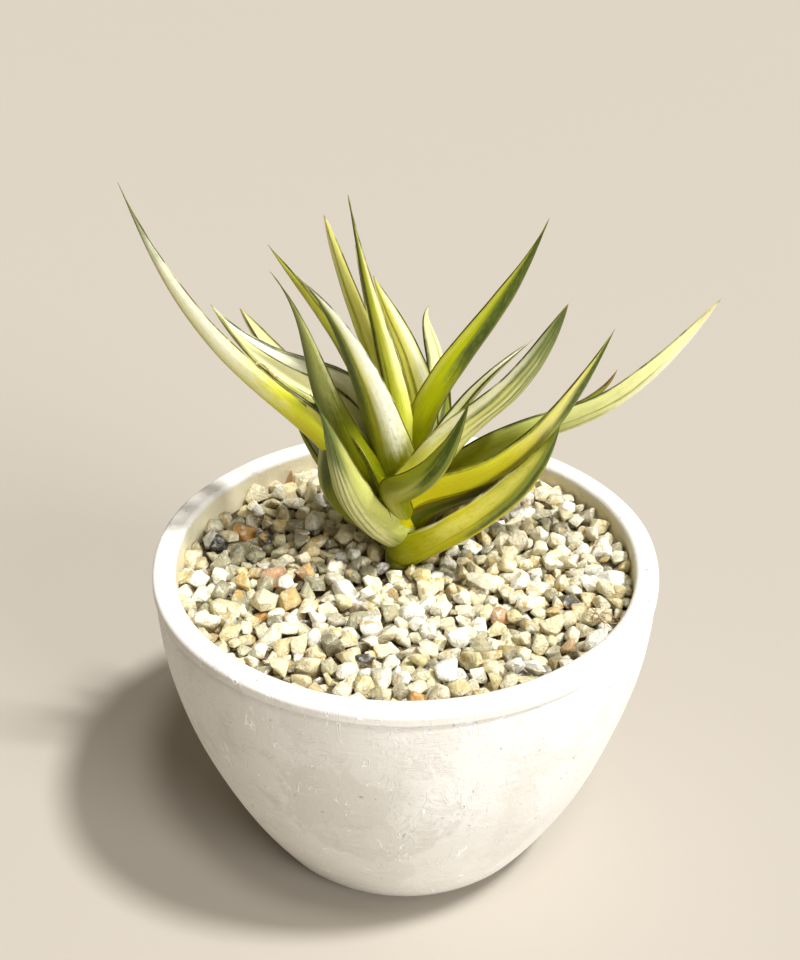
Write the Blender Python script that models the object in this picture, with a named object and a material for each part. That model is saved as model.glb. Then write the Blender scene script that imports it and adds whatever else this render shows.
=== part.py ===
"""A small variegated snake plant in a round cement-white pot, dressed with crushed quartz gravel.

The origin is the centre of the pot's underside, +Z is up and -Y is the front. The plant stands a
little behind the pot's axis. Sizes below are in millimetres and are scaled to metres as meshes are made.
"""

import math
import random

import bmesh
import bpy
from mathutils import Vector
from mathutils.geometry import interpolate_bezier

MM = 0.001

# The pot.
POT_HEIGHT = 97.5
RIM_RADIUS = 75.0
RIM_WIDTH = 6.8
LIP_HEIGHT = 4.0
LIP_OVERHANG = 0.8
FOOT_RADIUS = 45.4
FOOT_ROUNDING = 1.6
FLOOR_THICKNESS = 9.0
FLOOR_CORNER = 4.0
FLOOR_INSET = 6.0
EDGE_ROUNDING = 1.2
WALL_STATIONS = 6
TURNS = 36

# The fill.
SOIL_TOP = 80.0
GRAVEL_TOP = 91.3
GRAVEL_LUMP = 1.0
GRAVEL_DIP = 1.6
DIP_RADIUS = 20.0
GRAVEL_RINGS = (0.88, 0.73, 0.57, 0.41, 0.26, 0.12)
GAP = 0.4

# The stalk that the leaves grow from, as radius and height from the rhizome's knob to its tip.
STALK_X = -1.0
STALK_Y = 5.0
STALK_BOTTOM = 62.0
STALK_TOP = 120.0
STALK_SIDES = 16
STALK_RINGS = [
    (4.65, STALK_BOTTOM),
    (7.5, 66.0),
    (7.5, 73.0),
    (5.2, 80.0),
    (5.2, 93.0),
    (3.2, 99.0),
    (1.6, 112.0),
    (0.7, STALK_TOP),
]

# The leaves. Lengths along a leaf are shares of it, from 0 at the base to 1 at the tip.
STATIONS = 9
HALF_POINTS = 2
FINE_STEPS = 96
LEAF_THICKNESS = 2.4
TIP_THINNING = 0.6
MARGIN_THICKNESS = 0.5
MARGIN_POWER = 2.2
SPINE_RADIUS = 0.35
SPINE_DEPTH = 1.3
CLASP_ANGLE = 90.0
CLASP_LENGTH = 0.35
CLASP_POWER = 1.5
TIP_ANGLE = 80.0
TIP_START = 0.7
SHEATH_SHARE = 0.35
SHEATH_LENGTH = 0.30
UPWARD_TILT = 0.5
DEEPEST_SINK = 0.75

SEED = 7


def make_material(name, colour, roughness):
    """A plain opaque finish."""
    material = bpy.data.materials.new(name)
    material.use_nodes = True
    shader = material.node_tree.nodes["Principled BSDF"]
    shader.inputs["Base Color"].default_value = (*colour, 1.0)
    shader.inputs["Roughness"].default_value = roughness
    shader.inputs["Metallic"].default_value = 0.0
    material.diffuse_color = (*colour, 1.0)
    return material


def add_object(name, points, faces, material):
    """A closed solid from points in millimetres and its faces, placed in the scene."""
    mesh = bpy.data.meshes.new(name)
    mesh.from_pydata([Vector(point) * MM for point in points], [], faces)
    solid = bmesh.new()
    solid.from_mesh(mesh)
    bmesh.ops.recalc_face_normals(solid, faces=solid.faces)
    solid.to_mesh(mesh)
    solid.free()
    mesh.shade_smooth()
    mesh.set_sharp_from_angle(angle=math.radians(40))
    mesh.materials.append(material)
    body = bpy.data.objects.new(name, mesh)
    bpy.context.collection.objects.link(body)
    return body


def turn_profile(profile, turns, lump=None):
    """Points and faces of a profile turned about Z. The profile starts and ends on the axis."""
    points = [(0.0, 0.0, profile[0][1])]
    rings = profile[1:-1]
    for radius, height in rings:
        for step in range(turns):
            angle = 2 * math.pi * step / turns
            lift = lump(radius, height) if lump else 0.0
            points.append((radius * math.cos(angle), radius * math.sin(angle), height + lift))
    points.append((0.0, 0.0, profile[-1][1]))
    last = len(points) - 1
    faces = []
    for step in range(turns):
        after = (step + 1) % turns
        faces.append((0, 1 + after, 1 + step))
        for ring in range(len(rings) - 1):
            low = 1 + ring * turns
            high = low + turns
            faces.append((low + step, low + after, high + after, high + step))
        top = 1 + (len(rings) - 1) * turns
        faces.append((top + step, top + after, last))
    return points, faces


def outer_radius(height):
    """The pot's outside below the lip: a bowl that steepens towards the top."""
    share = 1 - height / (POT_HEIGHT - LIP_HEIGHT)
    top = RIM_RADIUS - LIP_OVERHANG
    return top - (top - FOOT_RADIUS) * share * share


def inner_radius(height):
    """The pot's inside: the same bowl, one wall thickness in."""
    wall = RIM_WIDTH - LIP_OVERHANG
    return outer_radius(min(height, POT_HEIGHT - LIP_HEIGHT)) - wall


def wall_heights(bottom, top, count):
    return [bottom + (top - bottom) * step / (count - 1) for step in range(count)]


def make_pot(material):
    lip_bottom = POT_HEIGHT - LIP_HEIGHT
    profile = [(0.0, 0.0), (FOOT_RADIUS - FOOT_ROUNDING, 0.0)]
    profile += [(outer_radius(z), z) for z in wall_heights(FOOT_ROUNDING, lip_bottom, WALL_STATIONS)]
    rim_inside = RIM_RADIUS - RIM_WIDTH
    profile += [
        (RIM_RADIUS, lip_bottom + LIP_OVERHANG),
        (RIM_RADIUS, POT_HEIGHT - EDGE_ROUNDING),
        (RIM_RADIUS - EDGE_ROUNDING, POT_HEIGHT),
        (rim_inside + EDGE_ROUNDING, POT_HEIGHT),
        (rim_inside, POT_HEIGHT - EDGE_ROUNDING),
    ]
    floor_corner = FLOOR_THICKNESS + FLOOR_CORNER
    heights = wall_heights(floor_corner, lip_bottom, WALL_STATIONS)
    profile += [(inner_radius(z), z) for z in reversed(heights)]
    profile += [(inner_radius(floor_corner) - FLOOR_INSET, FLOOR_THICKNESS), (0.0, FLOOR_THICKNESS)]
    return add_object("pot", *turn_profile(profile, TURNS), material)


def fill_rings(bottom, top, count):
    """The side of a fill that stands against the pot's inside with a small gap."""
    return [(inner_radius(z) - GAP, z) for z in wall_heights(bottom, top, count)]


def make_soil(material):
    floor = FLOOR_THICKNESS + GAP
    bottom = floor + FLOOR_CORNER
    profile = [(0.0, floor), (inner_radius(bottom) - FLOOR_INSET - 1.0, floor)]
    profile += fill_rings(bottom, SOIL_TOP, WALL_STATIONS)
    profile += [(0.0, SOIL_TOP)]
    return add_object("potting_soil", *turn_profile(profile, TURNS), material)


def make_gravel(name, swell, material):
    """The layer of crushed stone: flat below, gently lumpy on top, lower around the stalk."""
    chance = random.Random(SEED)
    bottom = SOIL_TOP + GAP
    side = fill_rings(bottom, GRAVEL_TOP, 3)
    edge = side[-1][0]
    radii = [edge * share for share in GRAVEL_RINGS]
    profile = [(0.0, bottom), *side, *[(radius, GRAVEL_TOP) for radius in radii], (0.0, GRAVEL_TOP)]

    def lump(radius, height):
        if height < GRAVEL_TOP:
            return 0.0
        near_stalk = max(0.0, 1 - radius / DIP_RADIUS)
        rise = chance.uniform(-GRAVEL_LUMP, GRAVEL_LUMP) * (1 - near_stalk)
        return rise - GRAVEL_DIP * near_stalk + swell

    return add_object(name, *turn_profile(profile, TURNS, lump), material)


def make_stalk(name, swell, material):
    """The rhizome's knob in the soil, the bare neck, and the core that the leaves clasp."""
    grown = [(radius + swell, height) for radius, height in STALK_RINGS]
    profile = [(0.0, STALK_BOTTOM - swell), *grown, (0.0, STALK_TOP + swell)]
    points, faces = turn_profile(profile, STALK_SIDES)
    points = [(x + STALK_X, y + STALK_Y, z) for x, y, z in points]
    return add_object(name, points, faces, material)


def ramp(low, high, value):
    """0 below low, 1 above high, and smooth between them."""
    share = min(1.0, max(0.0, (value - low) / (high - low)))
    return share * share * (3 - 2 * share)


def midrib(path, stations):
    """Evenly spaced points and directions along the leaf's length."""
    fine = interpolate_bezier(*[Vector(point) for point in path], FINE_STEPS + 1)
    travelled = [0.0]
    for before, after in zip(fine, fine[1:]):
        travelled.append(travelled[-1] + (after - before).length)
    centres = []
    directions = []
    for station in range(stations):
        wanted = travelled[-1] * station / (stations - 1)
        index = max(step for step in range(FINE_STEPS) if travelled[step] <= wanted + 1e-9)
        onward = fine[index + 1] - fine[index]
        share = (wanted - travelled[index]) / onward.length
        centres.append(fine[index] + onward * share)
        directions.append(onward.normalized())
    return centres, directions


def blade_section(centre, along, back, share, width, fold, fullness, swell):
    """One cross-section of a leaf: a channelled crescent, or a clasping collar near the base."""
    blade = 1 - share**fullness
    sheath = SHEATH_SHARE * max(0.0, 1 - share / SHEATH_LENGTH) ** 2
    half_width = max(SPINE_RADIUS, width / 2 * (blade + sheath)) + swell
    opening = max(0.0, 1 - share / CLASP_LENGTH) ** CLASP_POWER
    closing = ramp(TIP_START, 1.0, share)
    angle = math.radians(fold + (CLASP_ANGLE - fold) * opening + (TIP_ANGLE - fold) * closing)
    radius = half_width / angle
    depth = radius * (1 - math.cos(min(angle, math.pi / 2)))
    thickness = min(LEAF_THICKNESS * (1 - TIP_THINNING * share), SPINE_DEPTH * half_width)
    facing = math.radians(back)
    inward = Vector((-math.cos(facing), -math.sin(facing), UPWARD_TILT))
    inward = (inward - along * inward.dot(along)).normalized()
    across = along.cross(inward)
    middle = centre + inward * (radius - depth / 2)

    def point(turn, sink):
        out = -inward * math.cos(angle * turn) + across * math.sin(angle * turn)
        return middle + out * (radius - sink)

    turns = [step / HALF_POINTS for step in range(-HALF_POINTS, HALF_POINTS + 1)]
    outside = [point(turn, -swell) for turn in turns]
    inside = []
    for turn in turns:
        body = thickness * (1 - abs(turn) ** MARGIN_POWER) + MARGIN_THICKNESS
        inside.append(point(turn, min(body + swell, DEEPEST_SINK * radius)))
    return outside + inside[::-1]


def leaf_shape(path, width, back, fold, fullness, swell=0.0):
    """Points and faces of one leaf, from its clasping base to its pointed tip."""
    centres, directions = midrib(path, STATIONS)
    centres[0] = centres[0] - directions[0] * swell
    points = []
    for station in range(STATIONS - 1):
        share = station / (STATIONS - 1)
        points += blade_section(
            centres[station], directions[station], back, share, width, fold, fullness, swell
        )
    ring = 2 * (2 * HALF_POINTS + 1)
    faces = []
    for station in range(STATIONS - 2):
        low = station * ring
        for step in range(ring):
            after = (step + 1) % ring
            faces.append((low + step, low + after, low + ring + after))
            faces.append((low + step, low + ring + after, low + ring + step))
    for step in range(ring // 2 - 1):
        faces.append((step, ring - 1 - step, ring - 2 - step))
        faces.append((step, ring - 2 - step, step + 1))
    points.append(centres[-1] + directions[-1] * swell)
    low = (STATIONS - 2) * ring
    for step in range(ring):
        faces.append((low + step, low + (step + 1) % ring, len(points) - 1))
    return points, faces


# Each leaf's name, then its length as a Bezier curve in millimetres: where it leaves the stalk, the
# handle that sets how it rises, the handle that sets how it leans, and its tip. Then its flat width,
# the compass angle that its outer face looks towards (0 is +X, 90 is the back), how far each half
# curls up in degrees, and how long it stays wide before it tapers. The innermost leaves come first.
LEAVES = [
    ("leaf_centre_tall", (-3, 4, 121), (-5, 4, 161), (-9, 3, 167), (-15, 1, 206), 15, 262, 65, 1.8),
    ("leaf_centre_right", (-1, 6, 122), (4, 11, 142), (0, 14, 160), (-9, 16, 178), 14, 250, 60, 2.2),
    ("leaf_back_upright", (0, 8, 121), (6, 14, 135), (10, 24, 150), (6, 26, 165), 14, 300, 60, 2.4),
    ("leaf_back_pale", (-1, 7, 121), (-1, 14, 140), (2, 22, 155), (-4, 30, 164), 14, 90, 60, 2.4),
    ("leaf_centre_left", (-3, 6, 120), (-10, 8, 156), (-13, 9, 163), (-21, 12, 195), 14, 215, 60, 2.4),
    ("leaf_brown_point", (-2, 7, 119), (-6, 11, 150), (-10, 14, 165), (-14, 16, 187), 9, 150, 60, 2.4),
    ("leaf_upper_right", (1, 5, 119), (13, 3, 157), (18, 2, 163), (36, 0, 199), 17, 285, 60, 2.4),
    ("leaf_upper_left", (-3, 5, 118), (-11, 6, 149), (-20, 7, 162), (-36, 8, 190), 15, 215, 60, 2.4),
    ("leaf_front_broad", (-2, 4, 116), (-7, -1, 154), (-11, -5, 159), (-28, -22, 193), 21, 262, 55, 1.7),
    ("leaf_right_cream", (1, 5, 113), (10, 7, 139), (19, 9, 144), (37, 13, 160), 17, 330, 55, 2.2),
    ("leaf_left_yellow", (-3, 6, 112), (-14, 13, 148), (-24, 18, 150), (-49, 33, 161), 16, 185, 55, 2.4),
    ("leaf_right_mottled", (1, 4, 111), (16, 0, 145), (26, -4, 148), (42, -11, 180), 22, 285, 50, 2.0),
    ("leaf_left_cream", (-3, 5, 110), (-13, 8, 145), (-21, 9, 149), (-55, 17, 169), 22, 205, 50, 2.2),
    ("leaf_back_left_inner", (-2, 7, 109), (-5, 15, 124), (-12, 32, 124), (-15, 38, 141), 17, 115, 60, 2.2),
    ("leaf_left_grey", (-3, 4, 108), (-5, 3, 121), (-30, -7, 171), (-35, -9, 189), 18, 240, 60, 2.2),
    ("leaf_back_right_inner", (0, 7, 106), (6, 17, 120), (16, 34, 118), (21, 42, 133), 17, 62, 60, 2.2),
    ("leaf_far_right_long", (1, 5, 106), (24, 8, 142), (58, 11, 121), (88, 14, 172), 17, 315, 60, 2.8),
    ("leaf_right_brown_tip", (1, 6, 106), (17, 12, 137), (43, 23, 121), (64, 31, 141), 13, 350, 55, 2.6),
    ("leaf_left_dried_tip", (-3, 5, 105), (-18, 6, 134), (-25, 7, 138), (-42, 8, 155), 12, 200, 55, 2.4),
    ("leaf_right_broad", (1, 5, 104), (10, 2, 120), (47, -7, 138), (55, -9, 172), 24, 300, 58, 2.2),
    ("leaf_far_left_long", (-3, 5, 102), (-22, 4, 142), (-67, 3, 162), (-74, 2, 209), 15, 225, 60, 3.2),
    ("leaf_front_small", (0, 3, 101), (-3, -10, 117), (14, -16, 122), (17, -17, 156), 19, 280, 60, 2.0),
    ("leaf_back_left_low", (-2, 6, 101), (-10, 13, 112), (-26, 28, 108), (-35, 35, 125), 17, 142, 60, 2.2),
    ("leaf_left_low_hidden", (-4, 6, 100), (-8, 8, 105), (-24, 13, 110), (-33, 17, 134), 18, 190, 55, 2.2),
    ("leaf_right_low_inner", (1, 5, 99), (14, 2, 122), (32, -1, 120), (42, -3, 144), 18, 310, 55, 2.2),
    ("leaf_back_right_low", (1, 6, 98), (12, 15, 108), (28, 30, 108), (38, 38, 128), 17, 40, 60, 2.2),
    ("leaf_left_low_inner", (-3, 5, 97), (-12, 2, 104), (-27, 0, 118), (-22, 1, 150), 17, 225, 55, 2.2),
    ("leaf_front_left_low", (-3, 4, 95), (-11, 0, 116), (-23, -6, 132), (-26, -8, 157), 18, 250, 60, 2.0),
    ("leaf_front_right_low", (1, 4, 93), (16, -2, 106), (35, -9, 124), (41, -12, 144), 21, 285, 60, 2.5),
]


def carve(body, cutters):
    """Presses a solid around the ones inside it, and keeps its largest piece.

    The clasping bases fold over themselves where they are swollen. The exact solver leaves open
    edges there, and the manifold one doesn't.
    """
    modifier = body.modifiers.new("room for the neighbours", "BOOLEAN")
    modifier.operation = "DIFFERENCE"
    modifier.operand_type = "COLLECTION"
    modifier.collection = cutters
    modifier.solver = "MANIFOLD"
    bpy.context.view_layer.update()
    evaluated = body.evaluated_get(bpy.context.evaluated_depsgraph_get())
    carved = bpy.data.meshes.new_from_object(evaluated)
    body.modifiers.remove(modifier)
    keep_largest_piece(carved)
    body.data = carved


def keep_largest_piece(mesh):
    solid = bmesh.new()
    solid.from_mesh(mesh)
    pieces = []
    unseen = set(solid.faces)
    while unseen:
        front = [unseen.pop()]
        piece = []
        while front:
            face = front.pop()
            piece.append(face)
            for edge in face.edges:
                if len(edge.link_faces) > 2:
                    continue
                for other in edge.link_faces:
                    if other in unseen:
                        unseen.remove(other)
                        front.append(other)
        pieces.append(piece)
    pieces.sort(key=piece_size, reverse=True)
    for piece in pieces[1:]:
        bmesh.ops.delete(solid, geom=piece, context="FACES")
    solid.to_mesh(mesh)
    solid.free()


def piece_size(piece):
    return sum(face.calc_area() for face in piece)


def make_guide_collection():
    collection = bpy.data.collections.new("cutters")
    bpy.context.scene.collection.children.link(collection)
    return collection


def add_cutter(body, cutters):
    """Turns a swollen copy into a hidden cutter."""
    bpy.context.collection.objects.unlink(body)
    cutters.objects.link(body)
    body.hide_render = True
    body.display_type = "WIRE"


def main():
    for old in list(bpy.data.objects):
        bpy.data.objects.remove(old, do_unlink=True)

    cement = make_material("white_cement", (0.80, 0.78, 0.74), 0.85)
    soil = make_material("dark_soil", (0.06, 0.04, 0.03), 0.95)
    quartz = make_material("crushed_quartz", (0.72, 0.68, 0.58), 0.55)
    stalk_skin = make_material("stalk_skin", (0.42, 0.45, 0.16), 0.5)
    leaf_skin = make_material("variegated_leaf", (0.62, 0.65, 0.26), 0.4)

    cutters = make_guide_collection()
    make_pot(cement)
    soil_body = make_soil(soil)
    gravel_body = make_gravel("gravel_top_dressing", 0.0, quartz)
    make_stalk("rhizome_and_stalk", 0.0, stalk_skin)
    add_cutter(make_stalk("stalk_room", GAP, stalk_skin), cutters)
    carve(soil_body, cutters)
    carve(gravel_body, cutters)
    add_cutter(make_gravel("gravel_room", GAP, quartz), cutters)

    for name, heel, rise, lean, tip, width, back, fold, fullness in LEAVES:
        path = (heel, rise, lean, tip)
        leaf = add_object(name, *leaf_shape(path, width, back, fold, fullness), leaf_skin)
        carve(leaf, cutters)
        room = leaf_shape(path, width, back, fold, fullness, swell=GAP)
        add_cutter(add_object(name + "_room", *room, leaf_skin), cutters)


main()
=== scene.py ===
import math
import random

import bmesh
import bpy
import numpy as np
from mathutils import Matrix, Vector
from mathutils.kdtree import KDTree


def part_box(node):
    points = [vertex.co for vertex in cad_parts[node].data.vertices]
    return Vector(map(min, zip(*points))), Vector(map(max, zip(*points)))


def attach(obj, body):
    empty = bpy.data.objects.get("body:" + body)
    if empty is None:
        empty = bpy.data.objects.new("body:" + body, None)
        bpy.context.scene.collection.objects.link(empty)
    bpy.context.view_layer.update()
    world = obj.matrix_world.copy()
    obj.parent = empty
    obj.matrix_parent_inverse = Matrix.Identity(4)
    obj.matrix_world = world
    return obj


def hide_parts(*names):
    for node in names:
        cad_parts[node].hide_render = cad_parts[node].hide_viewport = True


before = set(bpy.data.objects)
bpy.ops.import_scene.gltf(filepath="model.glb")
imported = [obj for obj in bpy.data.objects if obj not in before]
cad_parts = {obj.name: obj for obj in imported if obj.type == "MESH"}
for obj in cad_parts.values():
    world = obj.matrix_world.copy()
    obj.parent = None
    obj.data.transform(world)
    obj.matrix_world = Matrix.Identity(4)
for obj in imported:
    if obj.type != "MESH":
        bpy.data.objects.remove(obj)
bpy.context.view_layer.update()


# The pot: one thick casting of white cement, a bowl on a small flat foot, with a low lip turned around
# its rim. It was rubbed down by hand, so its face keeps trowel film, brush lines and fine scratches.
MM = 0.001
POT_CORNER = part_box("pot")[1]
POT_HEIGHT = POT_CORNER.z / MM
RIM_RADIUS = POT_CORNER.x / MM
RIM_WIDTH = 6.8
LIP_HEIGHT = 4.0
LIP_OVERHANG = 0.5
FOOT_RADIUS = 45.4
FOOT_ROUNDING = 1.6
RIM_ROUNDING = 1.4
MOUTH_ROUNDING = 1.5
LIP_ROUNDING = 0.45
GROOVE_DEPTH = 0.1
POT_FLOOR = 9.0
COVE_HEIGHT = 5.0
COVE_WIDTH = 6.0
POT_SEGMENTS = 192
POT_UNEVENNESS = 0.16
GREATEST_BULGE = 0.3
TRUE_FOOT = 1.0
WAVE_COUNT = 14
BARE_PATCH = (-13, -66, 57)
CHALKY_PATCH = (9, -68, 58)


def hue(code):
    """A colour written as #RRGGBB, in linear light."""
    shares = [int(code[place:place + 2], 16) / 255 for place in (1, 3, 5)]
    return (*[s / 12.92 if s <= 0.04045 else ((s + 0.055) / 1.055) ** 2.4 for s in shares], 1.0)


class Wire:
    """A shader socket. Arithmetic on wires adds Math nodes, and node() adds any other node."""

    def __init__(self, tree, socket=None):
        self.tree = tree
        self.socket = socket

    def node(self, kind, settings, values, out=0):
        made = self.tree.nodes.new("ShaderNode" + kind)
        for name, setting in settings.items():
            if name == "stops":
                ramp = made.color_ramp
                while len(ramp.elements) < len(setting):
                    ramp.elements.new(0.5)
                for element, (place, colour) in zip(ramp.elements, setting):
                    element.position = place
                    element.color = hue(colour)
            else:
                setattr(made, name, setting)
        fill(self.tree, made.inputs, values)
        return Wire(self.tree, made.outputs[out])

    def place(self):
        """The place on the object, in millimetres."""
        return self.node("TexCoord", {}, {}, out=3).stretch(1000, 1000, 1000)

    def layer(self, name, out=2):
        """A number that the mesh stores at its points, or a vector where out is 1."""
        return self.node("Attribute", {"attribute_name": name}, {}, out=out)

    def maths(self, operation, *values):
        return self.node("Math", {"operation": operation}, dict(enumerate(values)))

    def __add__(self, other):
        return self.maths("ADD", self, other)

    def __sub__(self, other):
        return self.maths("SUBTRACT", self, other)

    def __rsub__(self, other):
        return self.maths("SUBTRACT", other, self)

    def __mul__(self, other):
        return self.maths("MULTIPLY", self, other)

    __radd__ = __add__
    __rmul__ = __mul__

    def __abs__(self):
        return self.maths("ABSOLUTE", self)

    def step(self, low, high):
        """0 at low, 1 at high, and smooth between them. Low may be the larger."""
        ends = {"Value": self, "From Min": low, "From Max": high}
        return self.node("MapRange", {"interpolation_type": "SMOOTHSTEP"}, ends)

    def away_from(self, point):
        """The distance of this place from a point."""
        return self.node("VectorMath", {"operation": "DISTANCE"}, {0: self, 1: point}, out=1)

    def stretch(self, *factors):
        """A vector with each of its three parts multiplied."""
        return self.node("VectorMath", {"operation": "MULTIPLY"}, {0: self, 1: factors})

    def noise(self, scale=1.0, detail=2.0, roughness=0.5, distortion=0.0):
        values = {"Vector": self, "Scale": scale, "Detail": detail}
        values |= {"Roughness": roughness, "Distortion": distortion}
        return self.node("TexNoise", {}, values)

    def mix(self, colour, factor):
        """This colour with another laid over it."""
        return self.node("Mix", {"data_type": "RGBA"}, {"Factor": factor, 6: self, 7: colour}, out=2)

    def ramp(self, *stops):
        return self.node("ValToRGB", {"stops": stops}, {"Fac": self})

    def bump(self, distance):
        """This height as a bent surface normal. Distance is in metres."""
        return self.node("Bump", {}, {"Height": self, "Distance": distance})


def fill(tree, inputs, values):
    """Links or sets a shader's inputs. Each value is a wire, a colour code or a plain value."""
    for name, value in values.items():
        if isinstance(value, Wire):
            tree.links.new(value.socket, inputs[name])
        else:
            inputs[name].default_value = hue(value) if isinstance(value, str) else value


def start_finish(name):
    """A new material, and a loose wire in it that adds its nodes."""
    material = bpy.data.materials.new(name)
    material.use_nodes = True
    return material, Wire(material.node_tree)


def set_finish(material, sockets):
    """Sets or links the sockets of the material's Principled shader, and returns the material."""
    tree = material.node_tree
    fill(tree, tree.nodes["Principled BSDF"].inputs, sockets)
    return material


def add_piece(name, points, faces, material, slot, replaced=(), **layers):
    """A mesh piece from points in millimetres. Each layer is a number or a vector for every point."""
    mesh = bpy.data.meshes.new(name)
    mesh.from_pydata((np.asarray(points, float) * MM).tolist(), [], faces)
    for layer, values in layers.items():
        values = np.asarray(values, np.float32)
        kind, key = ("FLOAT", "value") if values.ndim == 1 else ("FLOAT_VECTOR", "vector")
        mesh.attributes.new(layer, kind, "POINT").data.foreach_set(key, values.ravel())
    solid = bmesh.new()
    solid.from_mesh(mesh)
    bmesh.ops.recalc_face_normals(solid, faces=solid.faces)
    solid.to_mesh(mesh)
    solid.free()
    mesh.polygons.foreach_set("use_smooth", [True] * len(mesh.polygons))
    mesh.materials.append(material)
    piece = bpy.data.objects.new(name, mesh)
    bpy.context.scene.collection.objects.link(piece)
    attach(piece, "root")
    if replaced:
        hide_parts(*replaced)


def arc(centre, radius, start, end, steps):
    """Points of a round corner in the profile's plane, from one angle to another in degrees."""
    angles = np.radians(np.linspace(start, end, steps))
    return [(centre[0] + radius * math.cos(a), centre[1] + radius * math.sin(a)) for a in angles]


def pot_radius(height):
    """The outside below the lip: a bowl that steepens towards the top."""
    top = RIM_RADIUS - LIP_OVERHANG
    share = 1 - height / (POT_HEIGHT - LIP_HEIGHT)
    return top - (top - FOOT_RADIUS) * share * share


def pot_inside(height):
    return pot_radius(min(height, POT_HEIGHT - LIP_HEIGHT)) - (RIM_WIDTH - LIP_OVERHANG)


def pot_profile():
    """Half of the pot's section, from the middle of the underside round the rim to the inside floor."""
    lip = POT_HEIGHT - LIP_HEIGHT
    edge = RIM_RADIUS - LIP_OVERHANG
    cove = POT_FLOOR + COVE_HEIGHT
    outside = [(r, 0.0) for r in np.linspace(1.0, FOOT_RADIUS - FOOT_ROUNDING, 12)]
    outside += arc((FOOT_RADIUS - FOOT_ROUNDING, FOOT_ROUNDING), FOOT_ROUNDING, -75, -15, 4)
    outside += [(pot_radius(z), z) for z in np.linspace(FOOT_ROUNDING, lip - 0.7, 46)]
    groove = [(edge - GROOVE_DEPTH, lip - 0.5), (edge - GROOVE_DEPTH, lip - 0.2)]
    groove += [(edge + GROOVE_DEPTH, lip + 0.05)]
    lip_face = arc((RIM_RADIUS - LIP_ROUNDING, lip + 0.6), LIP_ROUNDING, -70, 0, 4)
    lip_face += [(RIM_RADIUS, z) for z in np.linspace(lip + 1.0, POT_HEIGHT - 1.5, 6)]
    rim = arc((RIM_RADIUS - RIM_ROUNDING, POT_HEIGHT - RIM_ROUNDING), RIM_ROUNDING, 0, 90, 7)
    mouth = (RIM_RADIUS - RIM_WIDTH + MOUTH_ROUNDING, POT_HEIGHT - MOUTH_ROUNDING)
    rim += arc(mouth, MOUTH_ROUNDING, 90, 180, 7)
    inside = [(pot_inside(z), z) for z in np.linspace(POT_HEIGHT - 2.2, cove, 30)]
    inside += [(r, POT_FLOOR) for r in np.linspace(pot_inside(cove) - COVE_WIDTH, 1.0, 8)]
    return outside, groove + lip_face + rim, inside


def turned(rings, segments):
    """Points and faces of a closed shape turned about Z, from rings of (radius, height)."""
    angles = np.linspace(0, 2 * math.pi, segments, endpoint=False)
    points = [(r * math.cos(a), r * math.sin(a), z) for r, z in rings for a in angles]
    faces = []
    for ring in range(len(rings) - 1):
        for step in range(segments):
            after = (step + 1) % segments
            low, high = ring * segments, (ring + 1) * segments
            faces.append((low + step, low + after, high + after, high + step))
    for ring in (0, len(rings) - 1):
        points.append((0.0, 0.0, rings[ring][1]))
        low, middle = ring * segments, len(points) - 1
        faces += [(low + step, low + (step + 1) % segments, middle) for step in range(segments)]
    return np.array(points), faces


def swell(points, size, reach, seed):
    """Smooth unevenness: a sum of a few waves in random directions, about size high."""
    chance = np.random.default_rng(seed)
    total = np.zeros(len(points))
    for _ in range(WAVE_COUNT):
        way = chance.normal(size=3)
        way *= chance.uniform(0.5, 1.6) * 2 * math.pi / (reach * np.linalg.norm(way))
        total += np.sin(points @ way + chance.uniform(0, 2 * math.pi))
    return total * size / math.sqrt(WAVE_COUNT / 2)


def make_cement():
    """White cement: grey-beige paste under a brighter trowel film that is worn away in patches, with
    painted shade on the inside wall.
    """
    material, new = start_finish("white_cement")
    place = new.place()
    inside = new.layer("inside")
    cloud = place.noise(0.022, 4, 0.55)
    crust = place.noise(0.09, 8, 0.68, 0.6)
    film = (place.noise(0.03, 7, 0.62, 0.9) + crust * 0.35).step(0.62, 0.72)
    bare = (place.away_from(BARE_PATCH) + (crust - 0.5) * 34 + (cloud - 0.5) * 30).step(25, 22)
    flakes = (place.away_from(CHALKY_PATCH) + (crust - 0.5) * 60).step(18, 11) * crust.step(0.42, 0.56)
    level_lines = place.stretch(0.05, 0.05, 2.2).noise(1, 4, 0.7)
    upright_lines = place.stretch(1.5, 1.5, 0.05).noise(1, 3, 0.6)
    brushed = (level_lines - 0.5) * 0.6 + (upright_lines - 0.5) * 0.4
    worn = place.noise(0.05, 2)
    scored = place.stretch(0.15, 0.15, 0.06).noise(1.4, 1.5, 0.5, 1.0)
    scratch = abs(scored - 0.5).step(0.014, 0.004) * worn.step(0.5, 0.58)
    crossed = place.stretch(0.1, 0.1, 0.13).noise(1.6, 1.5, 0.5, 1.6)
    scratch = scratch + abs(crossed - 0.47).step(0.008, 0.002) * worn.step(0.5, 0.42)
    pits = place.noise(0.55, 1).step(0.235, 0.20)
    colour = cloud.ramp((0.3, "#DBD7CF"), (0.7, "#E9E6E0"))
    colour = colour.mix("#F7F6F2", film * 0.3)
    colour = colour.mix("#CFCBC1", bare * 0.42)
    colour = colour.mix("#FBFAF7", flakes * 0.6)
    colour = colour.mix("#FFFFFF", brushed.step(0.02, 0.3) * 0.5)
    colour = colour.mix("#FFFFFF", scratch * 0.9)
    colour = colour.mix("#8F8A7C", pits * 0.5)
    # Painted shade: the inside wall is mixed towards a darker, yellower beige than the outside face.
    colour = colour.mix("#DCD3AE", inside * 0.8)
    rough = 0.78 + (level_lines - 0.5) * 0.25 - film * 0.14
    height = film * 0.08 + flakes * crust * 0.16 + brushed * 0.12 + scratch * 0.10 - pits * 0.25
    height = height + place.noise(2.4, 3, 0.6) * 0.05
    return set_finish(material, {
        "Base Color": colour, "Roughness": rough, "Normal": height.bump(0.001),
        "Specular IOR Level": 0.3,
    })


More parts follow.
